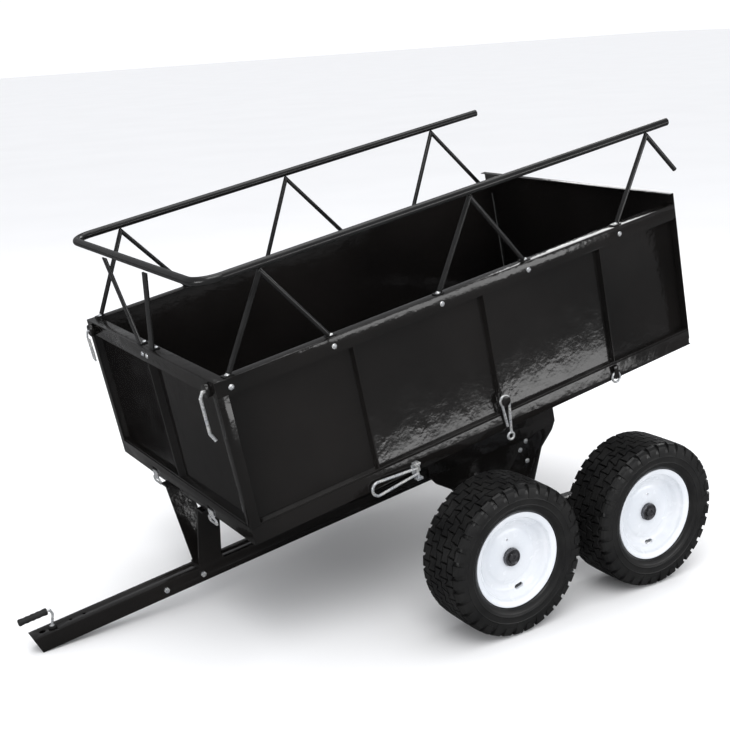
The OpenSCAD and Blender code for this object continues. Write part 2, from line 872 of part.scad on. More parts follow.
module ring_pin() {
    color(zinc) bed_frame() translate([ring_x, half_w + ring_r + seat_gap, bed_lift + 5])
        rotate([90, 0, 0]) rotate_extrude() translate([13, 0]) circle(r = ring_r);
}

// ---------- Tailgate ----------

gate_top = bed_top + gate_rise;
knuckle_y = [-280, 0, 280];
knuckle_l = 70;
gate_pin_r = 4;

// The tailgate: a sheet with a folded top, its beads and its knuckles
module tailgate() {
    z0 = bed_lift + 2 * gate_hinge_r + 2;
    color(black_coat) bed_frame() difference() {
        union() {
            translate([bed_rear + gate_gap, -half_w, z0]) cube([sheet, bed_w, gate_top - z0]);
            translate([bed_rear + gate_gap, -half_w, gate_top - sheet]) cube([16, bed_w, sheet]);
            for (y = knuckle_y) {
                translate([bed_rear + gate_gap, y - knuckle_l / 4 + slide_gap / 2, gate_hinge_z])
                    cube([sheet, knuckle_l / 2 - slide_gap, z0 - gate_hinge_z + 1]);
                translate([gate_hinge_x, 0, gate_hinge_z])
                    along_y(y - knuckle_l / 4 + slide_gap / 2, y + knuckle_l / 4 - slide_gap / 2,
                        gate_hinge_r);
                translate([gate_hinge_x, y - knuckle_l / 4 + slide_gap / 2, gate_hinge_z])
                    cube([gate_hinge_r + gate_gap + sheet, knuckle_l / 2 - slide_gap, 3]);
            }
        }
        translate([gate_hinge_x, 0, gate_hinge_z]) along_y(-half_w, half_w, gate_pin_r + run_gap);
    }
}

// Knuckles on the tray's rear edge, two around each of the tailgate's
module tailgate_hinges() {
    outer = knuckle_l / 2 - knuckle_l / 4;
    color(black_coat) bed_frame() difference() {
        for (y = knuckle_y) for (s = [-1, 1]) {
            mid = y + s * (knuckle_l / 4 + outer / 2 + slide_gap / 2);
            translate([gate_hinge_x, 0, gate_hinge_z])
                along_y(mid - outer / 2, mid + outer / 2, gate_hinge_r);
            translate([gate_hinge_x, mid - outer / 2, bed_lift])
                cube([gate_hinge_r, outer, gate_hinge_r]);
        }
        translate([gate_hinge_x, 0, gate_hinge_z]) along_y(-half_w, half_w, gate_pin_r);
    }
}

module tailgate_pin() {
    color(bare_steel) bed_frame() translate([gate_hinge_x, 0, gate_hinge_z])
        for (y = knuckle_y) along_y(y - knuckle_l / 2 - 4, y + knuckle_l / 2 + 4, gate_pin_r);
}

// ---------- Walking beams ----------

beam_bush_r = axle_r + 5;
beam_l = wheelbase + 2 * 36;

// A beam's tube with its bush hole and its two spindle holes
module beam() {
    difference() {
        translate([-beam_l / 2, beam_in, -beam_h / 2]) cube([beam_l, beam_w, beam_h]);
        translate([-beam_l / 2 - 1, beam_in + beam_wall, -beam_h / 2 + beam_wall])
            cube([beam_l + 2, beam_w - 2 * beam_wall, beam_h - 2 * beam_wall]);
        along_y(beam_in - 1, beam_out + 1, beam_bush_r);
        for (s = [-1, 1]) translate([s * wheelbase / 2, 0, 0])
            along_y(beam_in - 1, beam_out + 1, spindle_r + 4);
    }
}

module left_beam() {
    color(black_coat) level_frame() beam();
}

module right_beam() {
    color(black_coat) level_frame() mirror([0, 1, 0]) beam();
}

module beam_bush() {
    ring_y(beam_in - 4, beam_out + 4, beam_bush_r, axle_r + run_gap);
}

module beam_bushes_left() {
    color(bare_steel) level_frame() beam_bush();
}

module beam_bushes_right() {
    color(bare_steel) level_frame() mirror([0, 1, 0]) beam_bush();
}

hub_in = tyre_in + 6;
hub_out = disc_y - 6;

// Spindles through the beam, each with its shoulder, end washer and nut
module spindles() {
    for (s = [-1, 1]) translate([s * wheelbase / 2, 0, 0]) {
        along_y(beam_in, beam_out, spindle_r + 4);
        along_y(beam_out, hub_in - end_gap, spindle_r + 4);
        along_y(hub_in - end_gap, hub_out + 12, spindle_r);
        along_y(hub_out + end_gap, hub_out + 3, spindle_r + 6);
        translate([0, hub_out + 3, 0]) rotate([-90, 0, 0]) hex(27, 7);
    }
}

module left_spindles() {
    color(zinc) level_frame() spindles();
}

module right_spindles() {
    color(zinc) level_frame() mirror([0, 1, 0]) spindles();
}

// ---------- Wheels ----------

// Puts a left wheel, made around the Y axis, on its spindle: end 1 is front, side 1 left
module at_wheel(end, side) {
    level_frame() mirror([0, side < 0 ? 1 : 0, 0]) translate([end * wheelbase / 2, 0, 0]) children();
}

// Turns a section drawn with x as radius and y as distance from the cart's middle
module turned() {
    rotate([-90, 0, 0]) rotate_extrude($fn = 96) children();
}

bead_r = rim_d / 2 - 13;
flange_r = rim_d / 2;
flange_in = tyre_in + 12;
flange_out = tyre_out - 12;
shoulder = 14;
tyre_t = 9;

// The tyre: a hollow ring with rounded shoulders, open to the rim
module tyre() {
    r = wheel_r;
    well = wheel_r - tyre_t - 3;
    turned() polygon([
        [flange_r + 1, flange_in - 2], [flange_r + 10, tyre_in + 4], [r - 40, tyre_in],
        [r - shoulder - 6, tyre_in + 2], [r - 3, tyre_in + shoulder], [r, tyre_in + shoulder + 12],
        [r, tyre_out - shoulder - 12], [r - 3, tyre_out - shoulder], [r - shoulder - 6, tyre_out - 2],
        [r - 40, tyre_out], [flange_r + 10, tyre_out - 4], [flange_r + 1, flange_out + 2],
        [flange_r + 1, flange_out - rim_t - 0.8], [bead_r + 0.3, flange_out - rim_t - 3.5],
        [bead_r + 0.3, flange_out - 14],
        [flange_r, flange_out - 12],
        [well - 24, tyre_out - tyre_t], [well, tyre_out - shoulder - 12],
        [well, tyre_in + shoulder + 12], [well - 24, tyre_in + tyre_t],
        [flange_r, flange_in + 12], [bead_r + 0.3, flange_in + 14],
        [bead_r + 0.3, flange_in + rim_t + 3.5], [flange_r + 1, flange_in + rim_t + 0.8]]);
}

// The rim: two flanges, the barrel and a stepped disc, in one sheet
module rim() {
    disc_r = bead_r - 22;
    turned() polygon([
        [flange_r, flange_out], [flange_r - 4, flange_out], [bead_r - rim_t, flange_out - 4],
        [bead_r - rim_t, flange_out - 12], [disc_r + 8, disc_y + 10], [disc_r, disc_y],
        [disc_r - 10, disc_y - 2], [disc_r - 14, disc_y + 4], [hub_d / 2, disc_y + 4],
        [hub_d / 2, disc_y + 4 - rim_t], [disc_r - 15, disc_y + 4 - rim_t],
        [disc_r - 11, disc_y - 2 - rim_t], [disc_r + 2, disc_y - rim_t],
        [disc_r + 10, disc_y + 6 - rim_t], [bead_r - rim_t - 3, disc_y],
        [bead_r - rim_t - 3, flange_in + 12], [bead_r - rim_t, flange_in + 4],
        [flange_r - 4, flange_in], [flange_r, flange_in], [flange_r, flange_in + rim_t],
        [flange_r - 3, flange_in + rim_t], [bead_r, flange_in + rim_t + 2],
        [bead_r, flange_out - rim_t - 2], [flange_r - 3, flange_out - rim_t],
        [flange_r, flange_out - rim_t]]);
}

// The hub tube with its dust cap, which closes over the spindle's nut
module hub() {
    bore = spindle_r + run_gap;
    wide = hub_d / 2;
    turned() polygon([[bore, hub_in], [wide, hub_in], [wide, disc_y + 9], [wide - 6, disc_y + 13.5],
        [0, disc_y + 15], [0, disc_y + 12], [wide - 7.5, disc_y + 11], [wide - 3, disc_y + 7],
        [wide - 3, hub_out], [bore, hub_out]]);
}

module front_left_tyre() { color(rubber_black) at_wheel(1, 1) tyre(); }
module rear_left_tyre() { color(rubber_black) at_wheel(-1, 1) tyre(); }
module front_right_tyre() { color(rubber_black) at_wheel(1, -1) tyre(); }
module rear_right_tyre() { color(rubber_black) at_wheel(-1, -1) tyre(); }
module front_left_rim() { color(white_paint) at_wheel(1, 1) rim(); }
module rear_left_rim() { color(white_paint) at_wheel(-1, 1) rim(); }
module front_right_rim() { color(white_paint) at_wheel(1, -1) rim(); }
module rear_right_rim() { color(white_paint) at_wheel(-1, -1) rim(); }
module front_left_hub() { color(zinc) at_wheel(1, 1) hub(); }
module rear_left_hub() { color(zinc) at_wheel(-1, 1) hub(); }
module front_right_hub() { color(zinc) at_wheel(1, -1) hub(); }
module rear_right_hub() { color(zinc) at_wheel(-1, -1) hub(); }

tongue_tube();
cross_tube();
cross_axle();
axle_collars();
axle_nuts();
front_stand();
stand_pads();
stand_bolts();
tongue_bolts();
hitch_pin();
hitch_grip();
hitch_clip();
tray();
floor_channels();
left_wall();
right_wall();
front_wall();
left_top_angle();
right_top_angle();
front_top_angle();
corner_angles();
top_rail();
left_struts();
right_struts();
front_struts();
rail_bolts();
hangers();
hanger_bushes();
hanger_bolts();
pin_sockets();
left_corner_pin();
right_corner_pin();
edge_hooks();
bail_keeper();
bail();
side_pegs();
hook_pin();
ring_pin();
tailgate();
tailgate_hinges();
tailgate_pin();
left_beam();
right_beam();
beam_bushes_left();
beam_bushes_right();
left_spindles();
right_spindles();
front_left_tyre();
rear_left_tyre();
front_right_tyre();
rear_right_tyre();
front_left_rim();
rear_left_rim();
front_right_rim();
rear_right_rim();
front_left_hub();
rear_left_hub();
front_right_hub();
rear_right_hub();
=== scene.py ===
# %% [markdown]
# A tow behind cart with a tipping steel bed, built around its measured frame.
# The frame is the engineer's model of the cart: every tube, plate, pin and wheel in its real
# place. It could be modelled again by eye, but then nothing would fit at the joints, so this
# lesson loads it and only adds what a measured model leaves out: rolled edges, tyre tread,
# paint, rubber, plating and light.

import json
import math
import random

import bmesh
import bpy
from mathutils import Matrix, Vector


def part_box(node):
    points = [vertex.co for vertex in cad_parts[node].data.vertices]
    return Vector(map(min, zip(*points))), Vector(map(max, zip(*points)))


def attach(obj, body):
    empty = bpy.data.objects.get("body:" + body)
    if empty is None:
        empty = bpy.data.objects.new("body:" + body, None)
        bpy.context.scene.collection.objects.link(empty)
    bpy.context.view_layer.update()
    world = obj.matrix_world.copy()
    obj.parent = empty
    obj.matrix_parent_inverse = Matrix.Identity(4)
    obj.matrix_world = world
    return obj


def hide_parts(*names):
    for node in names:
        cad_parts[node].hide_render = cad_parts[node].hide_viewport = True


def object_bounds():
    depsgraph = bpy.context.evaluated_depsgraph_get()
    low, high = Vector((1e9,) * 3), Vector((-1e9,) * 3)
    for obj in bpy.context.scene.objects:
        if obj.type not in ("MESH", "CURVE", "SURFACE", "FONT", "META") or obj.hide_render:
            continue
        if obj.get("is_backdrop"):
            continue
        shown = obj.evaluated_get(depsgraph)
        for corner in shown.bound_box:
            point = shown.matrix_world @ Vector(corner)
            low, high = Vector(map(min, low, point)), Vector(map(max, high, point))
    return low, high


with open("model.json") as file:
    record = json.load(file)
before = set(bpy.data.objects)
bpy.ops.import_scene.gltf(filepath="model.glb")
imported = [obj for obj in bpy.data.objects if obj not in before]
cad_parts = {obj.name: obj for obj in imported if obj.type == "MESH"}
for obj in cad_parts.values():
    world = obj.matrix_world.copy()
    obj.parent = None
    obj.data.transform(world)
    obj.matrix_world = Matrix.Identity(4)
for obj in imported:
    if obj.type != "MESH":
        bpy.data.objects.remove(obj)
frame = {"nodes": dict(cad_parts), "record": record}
cad_box = [[float(v) for v in corner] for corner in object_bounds()]
SLOT_OF = {s["node"]: s["material_slot"] for s in frame["record"]["subparts"]}
BODY_OF = {n: b for b, nodes in frame["record"]["behaviour"]["bodies"].items() for n in nodes}

# %% [markdown]
# Drawings of sheet metal and rubber are in millimetres, and Blender works in metres. Every shape
# below is written in millimetres and scaled once, so its numbers can be read like a drawing's.

# %% Units and slopes
MM = 0.001
# The tongue slopes down to the ground in front
TONGUE_SLOPE = math.radians(8.0907)
print("tongue slope", round(math.degrees(TONGUE_SLOPE), 2), "degrees")

# %% [markdown]
# The camera stands at the cart's left front, a little above the rail, and is rolled slightly.
# It could be aimed with a Track To constraint, but a constraint has no roll, so the three axes
# of the view are worked out here and given to the camera as one matrix.

# %% Camera
CAMERA_AZIMUTH = math.radians(149.49)
CAMERA_ELEVATION = math.radians(15.42)
CAMERA_ROLL = math.radians(-3.42)
CAMERA_DISTANCE = 3.276
CAMERA_TARGET = Vector((-0.0979, 0.0, 0.5264))
SENSOR_WIDTH = 36.0
LENS = 60.27
FAR_CLIP = 200.0

camera = bpy.data.objects.new("camera", bpy.data.cameras.new("camera"))
bpy.context.scene.collection.objects.link(camera)
back = Vector((math.sin(CAMERA_AZIMUTH) * math.cos(CAMERA_ELEVATION),
               -math.cos(CAMERA_AZIMUTH) * math.cos(CAMERA_ELEVATION),
               math.sin(CAMERA_ELEVATION)))
level_right = Vector((0, 0, 1)).cross(back).normalized()
level_up = back.cross(level_right)
right = level_right * math.cos(CAMERA_ROLL) + level_up * math.sin(CAMERA_ROLL)
up = back.cross(right)
place = Matrix((right, up, back)).transposed().to_4x4()
place.translation = CAMERA_TARGET + back * CAMERA_DISTANCE
camera.matrix_world = place
camera.data.sensor_width = SENSOR_WIDTH
camera.data.lens = LENS
camera.data.clip_end = FAR_CLIP
bpy.context.scene.camera = camera
print("camera at", tuple(round(v, 3) for v in place.translation), "lens", camera.data.lens)

# %% [markdown]
# A studio has a pale floor and light from large soft boxes, so that black paint shows shape
# through reflections and not through its colour. A curved backdrop could hide the horizon, but
# it would stand in the way of the views from behind. A very wide floor does the same job.

# %% Floor, world and lamps
def link(mesh_or_light, name):
    thing = bpy.data.objects.new(name, mesh_or_light)
    bpy.context.scene.collection.objects.link(thing)
    return thing


def mesh_from(name, points, faces):
    mesh = bpy.data.meshes.new(name)
    mesh.from_pydata([tuple(p) for p in points], [], faces)
    mesh.update()
    return mesh


FLOOR_HALF = 60.0
FLOOR_DROP = 0.0005
ROOM_LIGHT = 1.12
# Mirror rays see the room this much dimmer, as black flags do in a real studio
ROOM_FLAG = 0.85
corners = [(-1, -1), (1, -1), (1, 1), (-1, 1)]
floor = link(mesh_from("studio_floor", [(x * FLOOR_HALF, y * FLOOR_HALF, -FLOOR_DROP)
                                        for x, y in corners], [(0, 1, 2, 3)]), "studio_floor")
floor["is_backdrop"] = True

world = bpy.data.worlds.new("studio")
world.use_nodes = True
world.node_tree.nodes["Background"].inputs["Color"].default_value = (0.96, 0.97, 1.0, 1.0)
room, room_links = world.node_tree.nodes, world.node_tree.links
ray, dimmer = room.new("ShaderNodeLightPath"), room.new("ShaderNodeMath")
dimmer.operation = "MULTIPLY_ADD"
dimmer.inputs[1].default_value = -ROOM_FLAG
dimmer.inputs[2].default_value = ROOM_LIGHT
room_links.new(ray.outputs["Is Glossy Ray"], dimmer.inputs[0])
room_links.new(dimmer.outputs["Value"], room["Background"].inputs["Strength"])
bpy.context.scene.world = world
bpy.context.scene.view_settings.view_transform = "Standard"


def soft_box(name, at, aim, size, watts):
    lamp = link(bpy.data.lights.new(name, "AREA"), name)
    lamp.data.shape = "RECTANGLE"
    lamp.data.size, lamp.data.size_y = size
    lamp.data.energy = watts
    lamp.visible_camera = False
    lamp.location = at
    lamp.rotation_euler = (Vector(aim) - Vector(at)).to_track_quat("-Z", "Y").to_euler()
    return lamp


soft_box("key_light", (1.2, 2.2, 3.6), (0, 0, 0.3), (2.4, 2.4), 60)
soft_box("top_light", (-0.6, -0.4, 4.2), (-0.2, 0, 0.4), (4.0, 3.0), 60)
soft_box("rear_light", (-3.2, -2.0, 2.6), (0, 0, 0.5), (2.0, 2.0), 40)
soft_box("low_strip", (-2.2, 3.6, 0.55), (-0.2, 0.4, 0.4), (2.8, 0.7), 24)
soft_box("front_strip", (3.4, 1.2, 0.5), (0.4, 0.0, 0.3), (1.6, 0.6), 20)

# %% [markdown]
# Every finish on the cart is a variation of one recipe: a colour that drifts slowly, a
# roughness that drifts with it, and a fine grain that tilts the surface. Each could be drawn
# as its own graph of nodes. One maker for all keeps the scales honest: they are given in
# marks per metre and in millimetres of height, the way a painter or a plater would.

# %% A maker of finishes
COAT_ROUGHNESS = 0.06
# Noise lies mostly between these two values
NOISE_LOW, NOISE_HIGH = 0.3, 0.7


def finish(name, dark, light, patches=6.0, rough=(0.3, 0.4), metal=0.0,
           grain=(300.0, 0.05), waves=None, coat=0.0, specular=0.5, stretch=(1, 1, 1)):
    material = bpy.data.materials.new(name)
    material.use_nodes = True
    nodes, links = material.node_tree.nodes, material.node_tree.links
    shader = nodes["Principled BSDF"]
    shader.inputs["Metallic"].default_value = metal
    shader.inputs["Coat Weight"].default_value = coat
    shader.inputs["Coat Roughness"].default_value = COAT_ROUGHNESS
    shader.inputs["Specular IOR Level"].default_value = specular
    coordinate = nodes.new("ShaderNodeTexCoord")
    mapping = nodes.new("ShaderNodeMapping")
    mapping.inputs["Scale"].default_value = stretch
    links.new(coordinate.outputs["Object"], mapping.inputs["Vector"])

    def noise(scale, detail):
        texture = nodes.new("ShaderNodeTexNoise")
        texture.inputs["Scale"].default_value = scale
        texture.inputs["Detail"].default_value = detail
        links.new(mapping.outputs["Vector"], texture.inputs["Vector"])
        return texture.outputs["Fac"]

    drift = noise(patches, 4.0)
    ramp = nodes.new("ShaderNodeValToRGB")
    ramp.color_ramp.elements[0].position, ramp.color_ramp.elements[1].position = 0.32, 0.68
    ramp.color_ramp.elements[0].color = (*dark, 1.0)
    ramp.color_ramp.elements[1].color = (*light, 1.0)
    links.new(drift, ramp.inputs["Fac"])
    links.new(ramp.outputs["Color"], shader.inputs["Base Color"])
    spread = nodes.new("ShaderNodeMapRange")
    spread.inputs["From Min"].default_value = NOISE_LOW
    spread.inputs["From Max"].default_value = NOISE_HIGH
    spread.inputs["To Min"].default_value, spread.inputs["To Max"].default_value = rough
    links.new(noise(patches * 5.0, 3.0), spread.inputs["Value"])
    links.new(spread.outputs["Result"], shader.inputs["Roughness"])
    normal = None
    for scale, height in [waves, grain]:
        bump = nodes.new("ShaderNodeBump")
        bump.inputs["Distance"].default_value = height * MM
        links.new(noise(scale, 3.0), bump.inputs["Height"])
        if normal:
            links.new(normal, bump.inputs["Normal"])
        normal = bump.outputs["Normal"]
    links.new(normal, shader.inputs["Normal"])
    return material


FINISH = {
    "gloss_black": finish("gloss_black_powder_coat", (0.0045, 0.0042, 0.004), (0.009, 0.008, 0.0075),
                          patches=3.0, rough=(0.09, 0.18), waves=(24.0, 1.3), grain=(85.0, 0.3),
                          specular=0.5),
    "satin_black": finish("satin_black_powder_coat", (0.006, 0.006, 0.006), (0.012, 0.012, 0.012),
                          patches=12.0, rough=(0.16, 0.26), waves=(40.0, 0.2), grain=(400.0, 0.05)),
    "white_paint": finish("white_rim_enamel", (0.6, 0.63, 0.67), (0.7, 0.72, 0.75),
                          patches=8.0, rough=(0.18, 0.3), waves=(25.0, 0.25), grain=(350.0, 0.04),
                          coat=0.3),
    "zinc": finish("bright_zinc_plate", (0.52, 0.54, 0.57), (0.74, 0.74, 0.72), patches=60.0,
                   rough=(0.2, 0.38), metal=0.7, waves=(90.0, 0.15), grain=(900.0, 0.04)),
    "bare_steel": finish("turned_steel", (0.38, 0.38, 0.39), (0.55, 0.55, 0.56), patches=40.0,
                         rough=(0.26, 0.42), metal=1.0, waves=(60.0, 0.1), grain=(1200.0, 0.05),
                         stretch=(1, 6, 1)),
    "hub_steel": finish("dark_hub_steel", (0.07, 0.07, 0.075), (0.16, 0.16, 0.17), patches=70.0,
                        rough=(0.22, 0.42), metal=0.85, waves=(90.0, 0.15), grain=(800.0, 0.05)),
    "rubber": finish("moulded_rubber", (0.008, 0.008, 0.008), (0.018, 0.018, 0.018), patches=30.0,
                     rough=(0.5, 0.68), waves=(80.0, 0.2), grain=(1500.0, 0.08), specular=0.35),
    "tyre": finish("tyre_rubber", (0.005, 0.005, 0.0052), (0.012, 0.0118, 0.0115), patches=14.0,
                   rough=(0.3, 0.46), waves=(60.0, 0.3), grain=(1100.0, 0.1), specular=0.4),
}
paper = finish("studio_paper", (0.86, 0.86, 0.86), (0.88, 0.88, 0.88), patches=1.0,
               rough=(0.8, 0.9), waves=(30.0, 0.02), grain=(200.0, 0.01), specular=0.1)
# The paper's colour is painted dark grey for mirror rays only, a painted shade in its reflection that
# stands in for black flags, so that the black panels stay black
PAINTED_REFLECTION_GREY = (0.1, 0.1, 0.1, 1.0)
paper_nodes, paper_links = paper.node_tree.nodes, paper.node_tree.links
paper_colour = paper_nodes["Principled BSDF"].inputs["Base Color"]
# This mix paints the floor grey where mirror rays see it: painted shade in the reflections, white
# everywhere else
paper_ray, reflection_shade_mix = paper_nodes.new("ShaderNodeLightPath"), paper_nodes.new("ShaderNodeMix")
reflection_shade_mix.data_type = "RGBA"
colour_mix = [socket for socket in reflection_shade_mix.inputs if socket.type == "RGBA"]
colour_mix[1].default_value = PAINTED_REFLECTION_GREY
paper_links.new(paper_ray.outputs["Is Glossy Ray"], reflection_shade_mix.inputs["Factor"])
paper_links.new(paper_colour.links[0].from_socket, colour_mix[0])
paper_links.new([o for o in reflection_shade_mix.outputs if o.type == "RGBA"][0], paper_colour)
floor.data.materials.append(paper)
for node, thing in frame["nodes"].items():
    thing.material_slots[0].material = FINISH[SLOT_OF[node]]
print("finishes", sorted(FINISH))

# %% [markdown]
# Pressed and welded steel never has a knife edge: brakes leave a radius, and powder coat
# rounds what is left. A bevel shader could fake that, but only in the render. Here each plate
# is copied, its facets are joined, and its corners are rounded as real geometry, which also
# catches the thin bright lines that run along every fold of a painted sheet.

# %% Rounded edges for plates, tubes and fittings
WELD_POINTS = 1e-5
FLAT_ANGLE = math.radians(0.8)
FOLD_ANGLE = math.radians(32)


def smooth_shaded(mesh, angle=35.0):
    for polygon in mesh.polygons:
        polygon.use_smooth = True
    mesh.set_sharp_from_angle(angle=math.radians(angle))
    return mesh


def dress(thing, body, slot, *nodes):
    thing.data.materials.clear()
    thing.data.materials.append(FINISH[slot])
    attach(thing, body)
    if nodes:
        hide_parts(*nodes)
    return thing


def eased(node, radius_mm):
    mesh = frame["nodes"][node].data.copy()
    mesh.name = node + "_eased"
    shape = bmesh.new()
    shape.from_mesh(mesh)
    bmesh.ops.remove_doubles(shape, verts=shape.verts, dist=WELD_POINTS)
    bmesh.ops.dissolve_limit(shape, angle_limit=FLAT_ANGLE, verts=shape.verts,
                             edges=shape.edges)
    folds = [e for e in shape.edges
             if len(e.link_faces) == 2 and e.calc_face_angle() > FOLD_ANGLE]
    bmesh.ops.bevel(shape, geom=folds, offset=radius_mm * MM, offset_type="OFFSET", segments=2,
                    profile=0.5, clamp_overlap=True, affect="EDGES")
    shape.to_mesh(mesh)
    shape.free()
    for name in [a.name for a in mesh.attributes if a.name.startswith("custom_normal")]:
        mesh.attributes.remove(mesh.attributes[name])
    return dress(link(smooth_shaded(mesh, 42.0), node + "_eased"), BODY_OF[node], SLOT_OF[node],
                 node)


EDGE_RADIUS = {
    0.7: ["tray", "left_wall", "right_wall", "front_wall", "tailgate", "edge_hooks",
          "bail_keeper", "left_top_angle", "right_top_angle", "front_top_angle",
          "corner_angles", "front_struts", "side_pegs"],
    1.2: ["front_stand", "hangers", "floor_channels", "pin_sockets", "stand_pads",
          "tailgate_hinges"],
    2.4: ["tongue_tube", "cross_tube", "left_beam", "right_beam"],
    0.5: ["stand_bolts", "tongue_bolts", "hanger_bolts", "axle_nuts", "axle_collars",
          "hitch_clip"],
}
for radius_mm, names in EDGE_RADIUS.items():
    for node in names:
        piece = eased(node, radius_mm)
        print(piece.name, len(piece.data.polygons), "faces")

# %% [markdown]
# Round things are turned from a profile, on a lathe of code: a list of radius and width pairs
# is swept about the wheel's own axis. Blender's Screw modifier does the same, but a modifier
# keeps its seam and its point order to itself, and the tread needs to know the radius of the
# rubber at any place across the tyre.

# %% A lathe about the Y axis
def rounded(profile, radius, steps=4):
    path = []
    count = len(profile)
    for i, point in enumerate(profile):
        here = Vector(point)
        before, after = Vector(profile[i - 1]), Vector(profile[(i + 1) % count])
        room = min((before - here).length, (after - here).length) * 0.45
        cut = min(radius, room)
        a = here + (before - here).normalized() * cut
        b = here + (after - here).normalized() * cut
        for k in range(steps + 1):
            t = k / steps
            path.append(a * (1 - t) ** 2 + here * 2 * t * (1 - t) + b * t * t)
    return path


def lathe(name, profile, turns=128):
    points, faces = [], []
    count = len(profile)
    for k in range(turns):
        angle = 2 * math.pi * k / turns
        for r, y in profile:
            points.append((r * MM * math.sin(angle), y * MM, r * MM * math.cos(angle)))
    for k in range(turns):
        n = (k + 1) % turns
        for j in range(count):
            m = (j + 1) % count
            faces.append((k * count + j, k * count + m, n * count + m, n * count + j))
    mesh = mesh_from(name, points, faces)
    shape = bmesh.new()
    shape.from_mesh(mesh)
    bmesh.ops.recalc_face_normals(shape, faces=shape.faces)
    shape.to_mesh(mesh)
    shape.free()
    return mesh


tyre_low, tyre_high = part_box("front_left_tyre")
TYRE_R = (tyre_high.z - tyre_low.z) / 2 / MM
HALF_W = (tyre_high.y - tyre_low.y) / 2 / MM
RIM_R = (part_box("front_left_rim")[1].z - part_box("front_left_rim")[0].z) / 2 / MM
HUB_OUT = (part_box("front_left_hub")[1].y / MM) - (tyre_low.y + tyre_high.y) / 2 / MM
print("tyre radius", TYRE_R, "half width", HALF_W, "rim radius", RIM_R, "hub reach", HUB_OUT)

# %% [markdown]
# The tyre's body is a smooth balloon: a bead that grips the rim, a bulging side with two
# moulded rings, a rounded shoulder and a nearly flat crown. The tread stands on it. The tread
# could be a bump texture, but it is the first thing one sees on a rough terrain tyre, in its
# outline too, so every block is a little prism of its own with a chamfered top.

# %% Body of the tyre
FLANGE = HALF_W - 12
TREAD = 7.0
half = [(RIM_R - 12.4, FLANGE - 12), (RIM_R - 12.4, FLANGE - 5), (RIM_R - 5, FLANGE - 3.4),
        (RIM_R + 1.2, FLANGE - 3.2), (RIM_R + 1.6, FLANGE + 1.5), (RIM_R + 5, FLANGE + 5),
        (RIM_R + 12, FLANGE + 9.2), (RIM_R + 17, FLANGE + 10.1), (RIM_R + 18, FLANGE + 11),
        (RIM_R + 20, FLANGE + 11.2), (RIM_R + 21, FLANGE + 10.5), (RIM_R + 33, FLANGE + 11.2),
        (RIM_R + 34, FLANGE + 11.8), (RIM_R + 35.5, FLANGE + 11.8), (RIM_R + 36.5, FLANGE + 10.8),
        (TYRE_R - 24, HALF_W - 1.4), (TYRE_R - 13, HALF_W - 4.6), (TYRE_R - TREAD - 2, HALF_W - 11),
        (TYRE_R - TREAD - 0.4, HALF_W - 26), (TYRE_R - TREAD, 0)]
cavity = [(TYRE_R - TREAD - 7, HALF_W - 30), (TYRE_R - 22, HALF_W - 14),
          (RIM_R + 20, HALF_W - 10), (RIM_R + 2, FLANGE - 12), (RIM_R - 10, FLANGE - 14)]
outside = half + [(r, -y) for r, y in reversed(half[:-1])]
inside = [(r, -y) for r, y in reversed(cavity)] + cavity
body_profile = rounded(outside + inside, 2.6, 3)


def body_radius(y):
    y = abs(y)
    stations = [(0, TYRE_R - TREAD), (HALF_W - 26, TYRE_R - TREAD - 0.4),
                (HALF_W - 11, TYRE_R - TREAD - 2), (HALF_W - 4.6, TYRE_R - 13),
                (HALF_W - 1.4, TYRE_R - 24)]
    for (y0, r0), (y1, r1) in zip(stations, stations[1:]):
        if y <= y1:
            return r0 + (r1 - r0) * (y - y0) / (y1 - y0)
    return stations[-1][1]


def crown_radius(y):
    across = abs(y) / HALF_W
    return TYRE_R - 0.15 - 1.4 * across ** 2 - (10.0 * (across - 0.88) if across > 0.88 else 0)


print("tyre body", len(body_profile), "points in the profile")

# %% [markdown]
# The blocks sit on a honeycomb of shared corners. Each corner is pushed a little out of place
# by a seeded random draw, and each block is then shrunk from its corners, so no two blocks
# are alike while the grooves between them stay even. Two rows of lugs wrap over the shoulders.

# %% Tread blocks and shoulder lugs
PITCHES = 34
ROWS = 5
ROW_H = 2 * (HALF_W - 14) / ROWS
GROOVE = 2.5
draw = random.Random(7)
jitter = {}


def honey_corner(i, row):
    key = (i % (2 * PITCHES), row)
    if key not in jitter:
        jitter[key] = (draw.uniform(-0.24, 0.24), draw.uniform(-3.6, 3.6))
    turn, shift = jitter[key]
    zig = 2.6 if (i + row) % 2 else -2.6
    y = -HALF_W + 14 + row * ROW_H + zig
    edge = row in (0, ROWS)
    return (i + turn) * math.pi / PITCHES, y + (shift * 0.3 if edge else shift)


def on_tyre(angle, y, r):
    return (r * MM * math.sin(angle), y * MM, r * MM * math.cos(angle))


def add_block(points, faces, corners, tops, feet):
    base = len(points)
    n = len(corners)
    middle_a = sum(a for a, _ in corners) / n
    middle_y = sum(y for _, y in corners) / n

    def ring(shrink, radius):
        for (a, y), r in zip(corners, radius):
            ra, ry = (a - middle_a) * TYRE_R, y - middle_y
            reach = math.hypot(ra, ry)
            k = max(0.2, 1 - shrink / reach)
            points.append(on_tyre(middle_a + ra * k / TYRE_R, middle_y + ry * k, r))

    ring(GROOVE - 0.5, feet)
    ring(GROOVE, [t - 0.9 for t in tops])
    ring(GROOVE + 0.8, tops)
    for level in (0, 1):
        for j in range(n):
            m = (j + 1) % n
            a, b = base + level * n, base + (level + 1) * n
            faces.append((a + j, a + m, b + m, b + j))
    points.append(on_tyre(middle_a, middle_y, sum(tops) / n + 0.05))
    top, peak = base + 2 * n, len(points) - 1
    faces.extend((top + j, top + (j + 1) % n, peak) for j in range(n))
    faces.append(tuple(base + j for j in reversed(range(n))))


